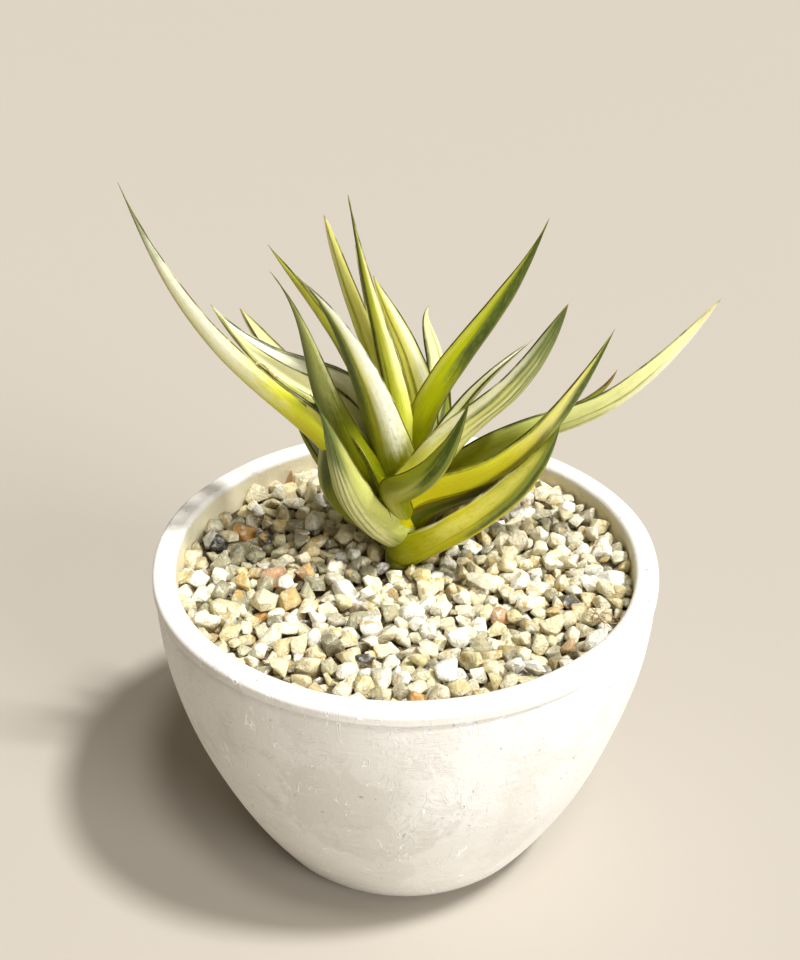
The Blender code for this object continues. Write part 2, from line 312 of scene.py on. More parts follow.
outside, rim, inside = pot_profile()
rings = outside + rim + inside
points, faces = turned(rings, POT_SEGMENTS)
lift = swell(points * [1, 1, 1.6], POT_UNEVENNESS, reach=55.0, seed=3)
ways = points.copy()
ways[:, 2] = 0
ways /= np.maximum(np.linalg.norm(ways, axis=1), 1.0)[:, None]
points += ways * (np.minimum(lift, GREATEST_BULGE) * (points[:, 2] > TRUE_FOOT))[:, None]
is_inside = np.zeros(len(points))
is_inside[(len(outside) + len(rim)) * POT_SEGMENTS:] = 1.0
# The last two points close the ends, and the first of them is the middle of the underside.
is_inside[-2] = 0.0
add_piece("cement_pot", points, faces, make_cement(), "pot_cement", ["pot"], inside=is_inside)


# The potting soil: peat and bark that fill the pot below the stones. It stays as it was built, because
# only its finish is seen, and only where the pot is taken away.
def make_soil():
    material, new = start_finish("dark_peat")
    place = new.place()
    crumbs = place.noise(0.5, 6, 0.7)
    fibres = place.stretch(0.8, 0.8, 0.12).noise(1, 4, 0.6, 1.0)
    colour = crumbs.ramp((0.35, "#1C130D"), (0.6, "#3B2A1D"), (0.8, "#5E4833"))
    colour = colour.mix("#7A6147", fibres.step(0.62, 0.7) * 0.6)
    height = crumbs + fibres * 0.4
    return set_finish(material, {
        "Base Color": colour, "Roughness": 0.85 + crumbs * 0.12, "Normal": height.bump(0.002),
        "Specular IOR Level": 0.2,
    })


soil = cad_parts["potting_soil"]
soil.data.materials.clear()
soil.data.materials.append(make_soil())


# The top dressing: about 1,400 loose pieces of crushed quartz, milky, glassy and iron-stained, poured
# over the soil. Each is a broken lump with flat faces and worn edges, and they settle by weight.
GRAVEL_LEVEL = 91.6
GRAVEL_DEPTH = 9.0
STONE_COUNT = 3050
LARGE_STONE = 2.45
SMALL_STONE = 1.65
LARGE_SHARE = 0.58
RADIUS_SPREAD = 0.42
LEAST_RADIUS, GREATEST_RADIUS = 1.0, 3.7
WALL_GAP = 0.4
STALK_X, STALK_Y = -1.0, 5.0
STALK_ROOM = 6.2
SETTLING_TURNS = 110
QUICK_TURNS = 90
QUICK_FALL, SLOW_FALL = 0.28, 0.05
SEARCH_MARGIN = 4.4
PUSH_SHARE = 0.42
NOTED_SINK = 0.4
SHAPE_COUNT = 56
HIDDEN_DEPTH = 4.6

# Lumpy stones touch each other, the soil, the pot and the stalk a little inside their radius.
TOUCHING = 0.94
TOUCHING_SOIL = 0.8
TOUCHING_POT = 0.75
TOUCHING_STALK = 0.8

# Painted shadow: around this place more of the stones are grey and glassy, standing in for the plant's
# shadow on the gravel.
SHADOW_X, SHADOW_Y = -28.0, 2.0
SHADOW_REACH = 24.0
SHADOW_SHIFT = 0.42
SHADOW_LIMIT = 0.93

# A few stones that stand out: place across the bed, radius, kind and tone.
NOTED_STONES = [
    (-40.0, -4.5, 4.3, "stained", 0.9), (3.0, -62.0, 2.9, "stained", 1.0),
    (-41.0, 56.0, 2.7, "stained", 0.75), (-58.0, 13.0, 3.3, "dark", 0.1),
    (60.5, -7.0, 4.6, "milky", 0.9), (27.0, -24.0, 2.9, "stained", 0.9),
    (-27.0, -8.5, 3.0, "glassy", 0.2), (-12.0, -26.0, 4.0, "glassy", 0.5),
]


def settle_stones():
    """Drops balls into the pot's mouth until they lie on each other. Returns places and radii."""
    chance = np.random.default_rng(11)
    wall = pot_inside(GRAVEL_LEVEL) - WALL_GAP
    usual = np.where(chance.random(STONE_COUNT) < LARGE_SHARE, LARGE_STONE, SMALL_STONE)
    radii = usual + chance.normal(0, RADIUS_SPREAD, STONE_COUNT)
    radii = np.clip(radii, LEAST_RADIUS, GREATEST_RADIUS)
    distance = np.sqrt(chance.uniform(0.01, 1, STONE_COUNT)) * (wall - 2)
    angle = chance.uniform(0, 2 * math.pi, STONE_COUNT)
    floor = GRAVEL_LEVEL - GRAVEL_DEPTH
    heights = floor + chance.uniform(2, 16, STONE_COUNT)
    places = np.column_stack([distance * np.cos(angle), distance * np.sin(angle), heights])
    noted = len(NOTED_STONES)
    seats = [(x, y, GRAVEL_LEVEL - radius * NOTED_SINK) for x, y, radius, _, _ in NOTED_STONES]
    places[:noted] = seats
    radii[:noted] = [radius for _, _, radius, _, _ in NOTED_STONES]
    for turn in range(SETTLING_TURNS):
        if turn % 4 == 0:
            tree = KDTree(len(places))
            for index, place in enumerate(places):
                tree.insert(place, index)
            tree.balance()
            found = []
            for index, place in enumerate(places):
                reach = radii[index] + SEARCH_MARGIN
                found += [(index, other) for _, other, _ in tree.find_range(place, reach) if other > index]
            pairs = np.array(found)
        places[noted:, 2] -= QUICK_FALL if turn < QUICK_TURNS else SLOW_FALL
        one, two = pairs.T
        apart = places[two] - places[one]
        length = np.maximum(np.linalg.norm(apart, axis=1), 1e-6)
        overlap = np.maximum((radii[one] + radii[two]) * TOUCHING - length, 0)
        push = apart / length[:, None] * (overlap * PUSH_SHARE)[:, None]
        np.add.at(places, one, -push)
        np.add.at(places, two, push)
        places[:noted] = seats
        places[:, 2] = np.maximum(places[:, 2], floor + radii * TOUCHING_SOIL)
        out = np.linalg.norm(places[:, :2], axis=1)
        limit = wall - radii * TOUCHING_POT
        places[:, :2] *= np.minimum(1, limit / np.maximum(out, 1e-6))[:, None]
        away = places[:, :2] - [STALK_X, STALK_Y]
        near = np.linalg.norm(away, axis=1)
        want = STALK_ROOM + radii * TOUCHING_STALK
        short = near < want
        places[short, :2] = [STALK_X, STALK_Y] + away[short] / near[short, None] * want[short, None]
    return places, radii


def stone_shape(chance):
    """One broken stone about 1 in radius: the hull of random points, its edges worn round."""
    solid = bmesh.new()
    for _ in range(chance.randint(12, 18)):
        way = Vector([chance.gauss(0, 1) for _ in range(3)]).normalized()
        solid.verts.new(way * chance.uniform(0.86, 1.12))
    bmesh.ops.convex_hull(solid, input=solid.verts)
    loose = [v for v in solid.verts if not v.link_faces]
    bmesh.ops.delete(solid, geom=loose, context="VERTS")
    bmesh.ops.dissolve_limit(solid, angle_limit=math.radians(14), verts=solid.verts, edges=solid.edges)
    bmesh.ops.bevel(solid, geom=solid.edges, offset=0.3, segments=2, profile=0.5,
                    affect="EDGES", clamp_overlap=True)
    bmesh.ops.triangulate(solid, faces=solid.faces)
    wave = chance.uniform(0, 6)
    for vert in solid.verts:
        ripple = 0.09 * math.sin(vert.co.x * 5 + wave) * math.sin(vert.co.y * 6 - wave)
        vert.co *= 1 + ripple + chance.gauss(0, 0.01)
    points = np.array([v.co[:] for v in solid.verts])
    faces = np.array([[v.index for v in f.verts] for f in solid.faces])
    solid.free()
    return points, faces


def make_quartz(name, stops, rough, glow):
    """Quartz of one kind. Tone sets each stone's own colour, and clouds, stains and specks vary it."""
    material, new = start_finish(name)
    place = new.place()
    tone = new.layer("tone")
    odd = new.layer("odd")
    cloud = place.noise(0.42, 4, 0.6)
    vein = abs(place.noise(0.33, 3, 0.5, 1.2) - 0.5).step(0.05, 0.0)
    stain = (place.noise(0.3, 3, 0.6, 0.5) + odd * 0.16).step(0.66, 0.76)
    specks = place.noise(1.5, 1).step(0.72, 0.77) * odd.step(0.55, 0.8)
    colour = (tone + (cloud - 0.5) * 0.22).ramp(*stops)
    colour = colour.mix("#FFFDF6", cloud.step(0.5, 0.68) * 0.5)
    colour = colour.mix("#A7A297", vein * 0.35)
    colour = colour.mix("#CFA648", stain * 0.7)
    colour = colour.mix("#3E382C", specks * 0.8)
    grit = place.noise(2.2, 4, 0.62)
    height = grit * 0.6 + cloud * 1.1 - vein * 0.25
    return set_finish(material, {
        "Base Color": colour, "Roughness": rough + (grit - 0.5) * 0.4, "Normal": height.bump(0.0007),
        "Subsurface Weight": glow, "Subsurface Radius": (1.0, 0.9, 0.7), "Subsurface Scale": 0.0012,
        "IOR": 1.54,
    })


# Each kind: the draw below which a stone is of it, and its finish.
STONE_KINDS = {
    "milky": (0.42, make_quartz("milky_quartz", [
        (0.0, "#E3D7B0"), (0.5, "#F7F1D8"), (1.0, "#FFFEF4")], 0.5, 0.2)),
    "cream": (0.78, make_quartz("cream_quartz", [
        (0.0, "#DCCC96"), (0.5, "#F0E4B8"), (1.0, "#FBF4D2")], 0.48, 0.2)),
    "glassy": (0.955, make_quartz("glassy_quartz", [
        (0.0, "#8F8A6E"), (0.5, "#B9B390"), (1.0, "#E0D9BA")], 0.26, 0.35)),
    "stained": (0.985, make_quartz("stained_quartz", [
        (0.0, "#E0CC96"), (0.6, "#D2B47A"), (0.9, "#C89C74"), (1.0, "#D29A3A")], 0.45, 0.15)),
    "dark": (1.01, make_quartz("dark_grit", [
        (0.0, "#1B1A17"), (0.5, "#4A463C"), (1.0, "#6E675A")], 0.4, 0.0)),
}

chance = random.Random(5)
shapes = [stone_shape(chance) for _ in range(SHAPE_COUNT)]
places, radii = settle_stones()
level = np.percentile(places[:, 2] + radii, 88)
places[len(NOTED_STONES):, 2] += GRAVEL_LEVEL + 0.5 - level
bed_top = GRAVEL_LEVEL - HIDDEN_DEPTH
piles = {kind: ([], [], [], []) for kind in STONE_KINDS}
for index, (place, radius) in enumerate(zip(places, radii)):
    if place[2] + radius < bed_top:
        continue
    draw = chance.random()
    # Painted shadow: near this place the draw leans towards the grey, glassy kinds.
    shadow_share = math.exp(-((place[0] - SHADOW_X) ** 2 + (place[1] - SHADOW_Y) ** 2) / (2 * SHADOW_REACH**2))
    draw = min(draw + SHADOW_SHIFT * shadow_share * chance.random(), max(draw, SHADOW_LIMIT))
    kind = next(k for k, (share, _) in STONE_KINDS.items() if draw < share)
    tone = chance.random()
    if index < len(NOTED_STONES):
        kind, tone = NOTED_STONES[index][3:]
    base, base_faces = shapes[chance.randrange(SHAPE_COUNT)]
    long, wide, flat = chance.uniform(1.15, 1.62), chance.uniform(1.02, 1.3), chance.uniform(0.85, 1.1)
    turn = Matrix.Rotation(chance.uniform(0, 2 * math.pi), 3, "Z")
    tilt = Matrix.Rotation(chance.gauss(0, 0.55), 3, (math.cos(index), math.sin(index), 0))
    grown = base * [long * radius, wide * radius, flat * radius]
    grown = grown @ np.array(turn).T @ np.array(tilt).T + place
    bodies, sides, tones, odds = piles[kind]
    sides.append(base_faces + sum(len(body) for body in bodies))
    bodies.append(grown)
    tones.append(np.full(len(grown), tone))
    odds.append(np.full(len(grown), chance.random()))
for kind, (bodies, sides, tones, odds) in piles.items():
    add_piece(f"quartz_{kind}", np.concatenate(bodies), np.concatenate(sides).tolist(),
              STONE_KINDS[kind][1], "gravel", ["gravel_top_dressing"],
              tone=np.concatenate(tones), odd=np.concatenate(odds))


def make_fines_shade():
    """Dust and fine grit, painted dark as the shade where it shows between the stones."""
    material, new = start_finish("fines_painted_shade")
    place = new.place()
    grains = place.noise(1.1, 4, 0.7)
    colour = grains.ramp((0.35, "#3A3022"), (0.55, "#76684A"), (0.75, "#B5A67F"))
    return set_finish(material, {
        "Base Color": colour, "Roughness": 0.75 + grains * 0.2, "Normal": grains.bump(0.001),
    })


FINES_HOLE = 7.5
FINES_GAP = 0.5
bed_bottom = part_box("gravel_top_dressing")[0].z / MM
bed_rings = [(r, bed_bottom) for r in np.linspace(FINES_HOLE, pot_inside(bed_bottom) - FINES_GAP, 8)]
bed_rings += [(r, bed_top) for r in np.linspace(pot_inside(bed_top) - FINES_GAP, FINES_HOLE, 24)]
points, faces = turned(bed_rings, segments=96)
points[:, 2] += swell(points, size=0.45, reach=9.0, seed=8) * (points[:, 2] > bed_bottom + 0.1)
add_piece("gravel_fines", points, faces, make_fines_shade(), "gravel", ["gravel_top_dressing"])


# The stalk: a short fleshy stem on a knob of rhizome. Rings of old leaf scars mark its neck, where the
# lowest leaves have dried away, and the living leaves clasp it above.
STALK_RINGS = [(4.65, 62), (7.5, 66), (7.5, 73), (5.2, 80), (5.2, 93), (3.2, 99), (1.6, 112), (0.7, 120)]
STALK_BOTTOM, STALK_TOP = 62.2, 119.8
SCAR_SPACING = 2.3
SCAR_DEPTH = 0.28


def make_stalk_skin():
    material, new = start_finish("stalk_skin")
    place = new.place()
    rings = place.stretch(0.15, 0.15, 2.6).noise(1, 4, 0.6)
    blotch = place.noise(0.4, 4, 0.6)
    colour = blotch.ramp((0.3, "#6F7420"), (0.55, "#9A9C33"), (0.75, "#BDB95C"))
    colour = colour.mix("#8A6A35", rings.step(0.56, 0.7) * 0.6)
    height = rings + blotch * 0.3
    return set_finish(material, {
        "Base Color": colour, "Roughness": 0.45 + rings * 0.25, "Normal": height.bump(0.0008),
        "Subsurface Weight": 0.1, "Subsurface Radius": (0.9, 1.0, 0.2), "Subsurface Scale": 0.001,
    })


heights = np.linspace(STALK_BOTTOM, STALK_TOP, 90)
stalk_radii = np.interp(heights, [z for _, z in STALK_RINGS], [r for r, _ in STALK_RINGS])
scars = np.abs(np.sin(heights * math.pi / SCAR_SPACING)) ** 0.35
stalk_radii = stalk_radii - SCAR_DEPTH * (1 - scars)
points, faces = turned(list(zip(stalk_radii, heights)), segments=40)
points[:, :2] += points[:, :2] * swell(points, size=0.03, reach=11.0, seed=5)[:, None]
points[:, :2] += [STALK_X, STALK_Y]
add_piece("scarred_stalk", points, faces, make_stalk_skin(), "stalk", ["rhizome_and_stalk"])


# The leaves: thick channelled blades, each with a clasping base, a firm dark margin and a dry brown
# point. They are variegated: yellow and cream tissue with grey-green stripes that run along them.
STATIONS = 84
HALF_POINTS = 9
LEAF_THICKNESS = 2.4
TIP_THINNING = 0.6
MARGIN_THICKNESS = 0.5
MARGIN_POWER = 2.2
SPINE_RADIUS = 0.35
SPINE_DEPTH = 1.3
CLASP_ANGLE = 90.0
CLASP_LENGTH = 0.35
CLASP_POWER = 1.5
TIP_ANGLE = 80.0
TIP_START = 0.7
SHEATH_SHARE = 0.35
SHEATH_LENGTH = 0.30
WAIST_SHARE = 0.5
WAIST_LENGTH = 0.5
UPWARD_TILT = 0.5
DEEPEST_SINK = 0.75

OLIVE = "#878B00"
DEEP_OLIVE = "#565C00"
LIME = "#BCC402"
MUSTARD = "#CFC500"
YELLOW = "#E2E03C"
LEMON = "#EDE97C"
CREAM = "#F8F5B4"
IVORY = "#FFFFEC"
STRAW = "#D5D47A"
BEIGE = "#F0E6A4"
SAGE = "#727E40"
PALE_GREEN = "#B6BA6A"
PINE = "#34481A"
BLUE_GREEN = "#53684C"
MOSS = "#7E861E"
LAVENDER = "#D2CFA8"
TAN = "#C9A15C"
BROWN = "#7B4A22"

# Each leaf: its length as a Bezier curve in millimetres (where it leaves the stalk, the handle that sets
# how it rises, the handle that sets how it leans, its tip), its flat width, the angle around Z that its
# outer face looks towards and how far each half curls up, in degrees, how long it stays wide, how finely
# it tapers, its colours at the base, the middle and the tip, and then its stripes. A stripe is its colour,
# its middle at base and tip (from -1 at the left margin to 1 at the right), its half width at base and
# tip, where it starts and ends along the leaf, its strength and its softness. Leaves flare at the base,
# but the waisted ones narrow there.
# The darker olive base colours are partly painted shade where the leaves crowd round the stalk, and the
# notes at some leaves say which bands are painted highlights or painted shade.
WAISTED = {"leaf_front_small"}
LEAVES = {
    "leaf_centre_tall": [
        (-3, 4, 121), (0, 4, 151), (-7, 3, 156), (-15, 1, 206),
        14, 251, 65, 1.2, 1.1, (LIME, LEMON, MOSS),
        (PINE, -0.95, -0.55, 0.25, 0.75, 0, 1, 0.9, 0.15),
        (LIME, 0.1, 0.2, 0.4, 0.3, 0.1, 0.8, 0.7, 0.2),
        (CREAM, 0.75, 0.7, 0.2, 0.3, 0.35, 0.9, 0.9, 0.2),
        (OLIVE, -0.1, 0, 0.05, 0.05, 0, 0.5, 0.8, 0.06),
    ],
    "leaf_centre_right": [
        (-1, 6, 122), (13, 11, 138), (-3, 14, 161), (-9, 16, 178),
        12, 249, 60, 3.4, 0.9, (LEMON, CREAM, LEMON),
        (OLIVE, 0, 0, 0.08, 0.08, 0.1, 0.9, 0.9, 0.08),
        (PINE, 0.97, 0.95, 0.06, 0.1, 0, 1, 0.9, 0.08),
        (MOSS, -0.6, -0.6, 0.12, 0.2, 0.1, 1, 0.8, 0.1),
        (IVORY, 0.6, 0.6, 0.15, 0.15, 0.3, 0.9, 0.8, 0.15),
    ],
    "leaf_back_upright": [
        (0, 8, 121), (20, 14, 151), (2, 24, 158), (7, 26, 165),
        12, 307, 60, 2.8, 0.8, (YELLOW, CREAM, CREAM),
        (PINE, -0.95, -0.95, 0.1, 0.2, 0, 1, 0.9, 0.1),
        (OLIVE, 0, 0, 0.06, 0.1, 0, 0.9, 0.8, 0.1),
    ],
    "leaf_back_pale": [
        (-1, 7, 121), (-1, 14, 140), (2, 22, 155), (-4, 30, 164),
        14, 90, 60, 2.4, 1.0, (YELLOW, CREAM, IVORY),
        (MOSS, 0.3, 0.2, 0.1, 0.1, 0.1, 0.9, 0.8, 0.1),
        (PINE, -0.95, -0.95, 0.06, 0.1, 0, 1, 0.8, 0.08),
    ],
    # Partly painted light: the pale lemon ground and the lemon band on the right brighten a face that lies
    # in the shade of the leaves beside it.
    "leaf_centre_left": [
        (-3, 6, 120), (-6, 8, 158), (-12, 9, 157), (-22, 12, 197),
        15, 213, 60, 3.6, 0.8, (LEMON, LEMON, CREAM),
        (PINE, -0.62, -0.5, 0.16, 0.2, 0.05, 1, 0.95, 0.1),
        (MOSS, -0.3, -0.25, 0.1, 0.15, 0, 1, 0.7, 0.15),
        (LEMON, 0.6, 0.6, 0.4, 0.4, 0, 1, 0.9, 0.2),
        (OLIVE, 0.3, 0.35, 0.04, 0.08, 0.2, 0.95, 0.8, 0.08),
    ],
    "leaf_brown_point": [
        (-2, 7, 119), (-6, 11, 150), (-10, 14, 165), (-14, 16, 187),
        9, 150, 60, 2.4, 1.0, (YELLOW, LEMON, BEIGE),
        (BROWN, 0, 0, 1, 1, 0.9, 1.1, 0.8, 0.2),
    ],
    "leaf_upper_right": [
        (1, 5, 119), (2, 3, 154), (24, 2, 164), (37, 0, 200),
        10, 255, 60, 3.8, 1.4, (OLIVE, LIME, LIME),
        (PALE_GREEN, 0.85, 0.8, 0.15, 0.2, 0.1, 0.9, 0.6, 0.15),
        (SAGE, 0.5, 0.2, 0.12, 0.9, 0.4, 0.97, 0.9, 0.25),
        (PINE, 0.3, 0.2, 0.06, 0.65, 0.44, 0.96, 0.75, 0.2),
        (LEMON, -0.7, -0.7, 0.12, 0.15, 0.3, 0.85, 0.5, 0.15),
        (PINE, -0.97, -0.95, 0.03, 0.08, 0.3, 1, 0.9, 0.05),
    ],
    "leaf_upper_left": [
        (-3, 5, 118), (-12, 6, 157), (-20, 7, 165), (-37, 8, 190),
        15, 215, 60, 2.4, 0.9, (LIME, OLIVE, PALE_GREEN),
        (YELLOW, 0.5, 0.5, 0.25, 0.3, 0.3, 0.95, 0.8, 0.2),
        (MOSS, -0.45, -0.4, 0.3, 0.35, 0, 1, 0.9, 0.15),
        (BROWN, 0.4, 0.4, 0.4, 0.4, 0.78, 0.84, 0.35, 0.2),
        (PINE, 0.85, 0.8, 0.04, 0.08, 0.2, 1, 0.8, 0.05),
    ],
    # Painted light: the broad ivory band on the right is a painted highlight, and the olive, moss and dark
    # green on the left are partly painted shade over its grey-green stripes.
    "leaf_front_broad": [
        (-2, 4, 116), (-8, -1, 149), (-17, -5, 175), (-27, -22, 193),
        18, 254, 55, 1.6, 1.3, (OLIVE, YELLOW, CREAM),
        (OLIVE, -0.2, -0.2, 1.2, 0.5, 0, 0.42, 0.6, 0.3),
        (IVORY, 0.5, 0.8, 0.35, 0.5, 0.2, 1, 0.95, 0.35),
        (MOSS, -0.8, -0.5, 0.5, 0.75, 0, 1, 0.9, 0.3),
        (SAGE, -0.5, -0.3, 0.15, 0.6, 0.42, 1, 0.9, 0.2),
        (PINE, -0.6, -0.5, 0.08, 0.45, 0.35, 1, 0.85, 0.14),
        (OLIVE, 0, 0, 0.05, 0.05, 0, 0.6, 0.8, 0.06),
    ],
    "leaf_right_cream": [
        (1, 5, 113), (12, 7, 138), (18, 9, 146), (36, 13, 160),
        17, 330, 55, 2.2, 1.0, (YELLOW, CREAM, CREAM),
        (PINE, -0.5, -0.4, 0.08, 0.16, 0.3, 1, 1, 0.06),
        (PINE, -0.97, -0.95, 0.06, 0.08, 0, 1, 0.9, 0.06),
        (IVORY, -0.75, -0.7, 0.12, 0.15, 0.3, 1, 0.8, 0.1),
        (OLIVE, -0.15, -0.1, 0.04, 0.05, 0.2, 1, 0.8, 0.05),
    ],
    "leaf_left_yellow": [
        (-3, 8, 112), (-24, 14, 144), (-32, 18, 139), (-49, 33, 161),
        18, 165, 55, 3.8, 0.8, (YELLOW, BEIGE, BEIGE),
        (MOSS, -0.95, -0.95, 0.1, 0.12, 0, 1, 0.8, 0.1),
        (PINE, 0.95, 0.95, 0.08, 0.1, 0, 1, 0.9, 0.06),
    ],
    "leaf_right_mottled": [
        (1, 4, 111), (19, 0, 152), (28, -4, 138), (42, -11, 181),
        23, 307, 50, 2.3, 0.8, (YELLOW, LEMON, PALE_GREEN),
        (IVORY, -0.85, -0.85, 0.12, 0.12, 0.3, 0.85, 0.8, 0.15),
        (CREAM, 0, 0, 0.5, 0.4, 0.25, 0.8, 0.7, 0.3),
        (BLUE_GREEN, -0.62, -0.66, 0.02, 0.08, 0.4, 1, 0.9, 0.07),
        (BLUE_GREEN, -0.35, -0.4, 0.02, 0.07, 0.45, 1, 0.9, 0.07),
        (BLUE_GREEN, -0.1, -0.12, 0.02, 0.08, 0.38, 1, 0.9, 0.07),
        (SAGE, 0.12, 0.1, 0.03, 0.08, 0.42, 1, 0.85, 0.07),
        (SAGE, 0.35, 0.3, 0.03, 0.08, 0.35, 1, 0.85, 0.07),
        (BLUE_GREEN, 0.55, 0.5, 0.03, 0.1, 0.4, 1, 0.9, 0.08),
        (LIME, 0.6, 0.6, 0.3, 0.2, 0, 0.4, 0.6, 0.2),
        (SAGE, -0.2, -0.1, 0.02, 1.1, 0.72, 1, 0.6, 0.2),
        (PINE, 0.2, 0, 0.02, 0.8, 0.86, 1, 0.6, 0.15),
    ],
    # Partly painted light: the ivory band and cream ground brighten an outer face that the lamps leave in
    # shade.
    "leaf_left_cream": [
        (-5, 12, 106), (-10, 9, 158), (-34, 9, 138), (-55, 17, 169),
        29, 160, 45, 2.0, 1.0, (OLIVE, CREAM, CREAM),
        (IVORY, -0.7, -0.7, 0.3, 0.3, 0.25, 0.95, 0.8, 0.2),
        (PINE, -0.3, -0.35, 0.04, 0.05, 0.3, 0.9, 1, 0.04),
        (OLIVE, 0.95, 0.95, 0.45, 0.1, 0, 0.65, 0.85, 0.15),
        (MOSS, 0.95, 0.9, 0.06, 0.25, 0.6, 1.1, 0.8, 0.1),
        (PINE, 0.5, 0.7, 0.03, 0.03, 0.2, 0.6, 0.9, 0.03),
        (PINE, -0.9, -0.9, 0.04, 0.06, 0.2, 0.95, 0.9, 0.05),
    ],
    "leaf_back_left_inner": [
        (-2, 7, 109), (-5, 15, 124), (-12, 32, 124), (-15, 38, 141),
        17, 115, 60, 2.2, 1.0, (LIME, LEMON, MOSS),
        (BLUE_GREEN, 0, 0, 0.1, 0.4, 0.35, 1, 0.9, 0.15),
        (SAGE, 0.5, 0.45, 0.1, 0.3, 0.3, 1, 0.8, 0.15),
        (PINE, -0.95, -0.9, 0.08, 0.15, 0, 1, 0.8, 0.1),
    ],
    # Partly painted shade: the deep olive middle stands for the shade that falls on this leaf's lower half.
    "leaf_left_grey": [
        (-3, 4, 108), (-29, 3, 140), (-21, -7, 169), (-35, -9, 189),
        20, 253, 60, 1.5, 1.4, (OLIVE, DEEP_OLIVE, SAGE),
        (PALE_GREEN, 0.2, 0.1, 0.4, 0.6, 0.5, 1, 0.7, 0.35),
        (SAGE, -0.5, -0.4, 0.3, 0.6, 0.4, 1, 0.7, 0.3),
        (PINE, -0.9, -0.8, 0.15, 0.45, 0.2, 1, 0.75, 0.2),
        (PINE, 0, 0, 0.05, 0.9, 0.9, 1, 0.5, 0.2),
        (CREAM, 0.85, 0.8, 0.1, 0.2, 0.55, 0.95, 0.6, 0.2),
        (LIME, 0.7, 0.8, 0.3, 0.1, 0.1, 0.35, 0.5, 0.3),
    ],
    "leaf_back_right_inner": [
        (0, 7, 106), (6, 17, 120), (12, 34, 118), (14, 42, 133),
        17, 62, 60, 2.2, 1.0, (MUSTARD, YELLOW, MOSS),
        (BLUE_GREEN, -0.2, 0, 0.08, 0.4, 0.35, 1, 0.9, 0.15),
        (CREAM, 0.7, 0.7, 0.2, 0.2, 0.2, 0.9, 0.8, 0.2),
        (MOSS, -0.7, -0.7, 0.1, 0.2, 0.1, 1, 0.7, 0.1),
    ],
    "leaf_far_right_long": [
        (1, 5, 106), (37, 8, 152), (49, 11, 113), (88, 14, 172),
        16, 301, 60, 3.9, 0.9, (OLIVE, PALE_GREEN, CREAM),
        (CREAM, 0.2, 0.2, 0.5, 0.8, 0.62, 1, 0.85, 0.3),
        (MOSS, -0.4, -0.3, 0.05, 0.04, 0.2, 0.75, 0.9, 0.06),
        (MOSS, 0.1, 0, 0.04, 0.04, 0.15, 0.6, 0.8, 0.06),
        (PINE, -0.95, -0.95, 0.05, 0.04, 0, 0.6, 0.9, 0.05),
        (IVORY, 0.4, 0.3, 0.25, 0.5, 0.68, 0.97, 0.9, 0.2),
        (OLIVE, -0.1, 0, 0.9, 0.3, 0, 0.42, 0.6, 0.3),
        (TAN, 0, 0, 1, 1, 0.95, 1.1, 0.5, 0.2),
    ],
    "leaf_right_brown_tip": [
        (1, 6, 106), (19, 12, 138), (55, 23, 125), (64, 31, 142),
        14, 351, 55, 2.9, 0.8, (MUSTARD, OLIVE, MOSS),
        (BROWN, 0, 0, 1.2, 1.2, 0.92, 1.1, 0.9, 0.1),
        (PINE, 0, 0, 0.1, 0.2, 0.3, 0.9, 0.8, 0.1),
        (CREAM, 0.5, 0.5, 0.1, 0.1, 0.4, 0.9, 0.7, 0.1),
    ],
    "leaf_left_dried_tip": [
        (-3, 8, 103), (-17, 1, 138), (-26, 1, 139), (-37, 4, 152),
        13, 245, 55, 2.5, 0.8, (OLIVE, OLIVE, STRAW),
        (PINE, 0.85, 0.85, 0.06, 0.08, 0.1, 0.95, 0.8, 0.05),
        (TAN, 0.1, 0.1, 0.1, 0.3, 0.8, 1, 0.4, 0.2),
        (MUSTARD, 0.2, 0.2, 0.4, 0.4, 0.1, 0.9, 0.5, 0.3),
        (BROWN, 0, 0, 1.2, 1.2, 0.96, 0.95, 0.8, 0.1),
    ],
    # Painted light: the beige band on the left is a painted highlight, and the pale lavender band partly
    # brightens a lower edge that lies in shade.
    "leaf_right_broad": [
        (1, 5, 104), (10, 2, 129), (29, -7, 108), (55, -9, 173),
        24, 301, 58, 1.5, 1.0, (MUSTARD, YELLOW, LEMON),
        (MUSTARD, -0.2, -0.2, 0.6, 0.5, 0.1, 0.6, 0.7, 0.3),
        (BEIGE, -0.6, -0.5, 0.3, 0.4, 0.55, 0.8, 0.5, 0.25),
        (LAVENDER, 0.6, 0.4, 0.25, 0.3, 0.15, 0.88, 0.95, 0.15),
        (SAGE, 0.3, -0.1, 0.02, 0.6, 0.6, 1, 0.9, 0.15),
        (PINE, 0.4, -0.2, 0.02, 0.35, 0.66, 1, 0.85, 0.12),
        (OLIVE, 0.15, 0.1, 0.03, 0.03, 0.2, 0.7, 0.8, 0.05),
        (PINE, 0.5, 0.5, 0.03, 0.05, 0.25, 0.9, 0.8, 0.05),
        (PINE, -0.95, -0.95, 0.05, 0.12, 0, 1, 0.8, 0.06),
    ],
    # Painted light: the ivory band on the upper right is a painted highlight, and the olive band on the
    # left is partly painted shade.
    "leaf_far_left_long": [
        (-3, 5, 102), (-29, 4, 152), (-54, 3, 144), (-74, 2, 209),
        16, 238, 60, 3.2, 1.4, (LIME, YELLOW, PALE_GREEN),
        (IVORY, 0.4, 0.5, 0.35, 0.55, 0.5, 0.9, 0.95, 0.35),
        (CREAM, 0.1, 0.2, 0.3, 0.4, 0.45, 0.8, 0.5, 0.35),
        (OLIVE, -0.75, -0.8, 0.35, 0.5, 0, 1, 0.85, 0.35),
        (MOSS, 0.85, 0.9, 0.2, 0.1, 0, 0.4, 0.6, 0.15),
        (SAGE, 0, 0, 0.2, 1, 0.86, 1, 0.8, 0.2),
        (OLIVE, 0.1, 0, 0.5, 0.3, 0, 0.22, 0.5, 0.3),
    ],
    "leaf_front_small": [
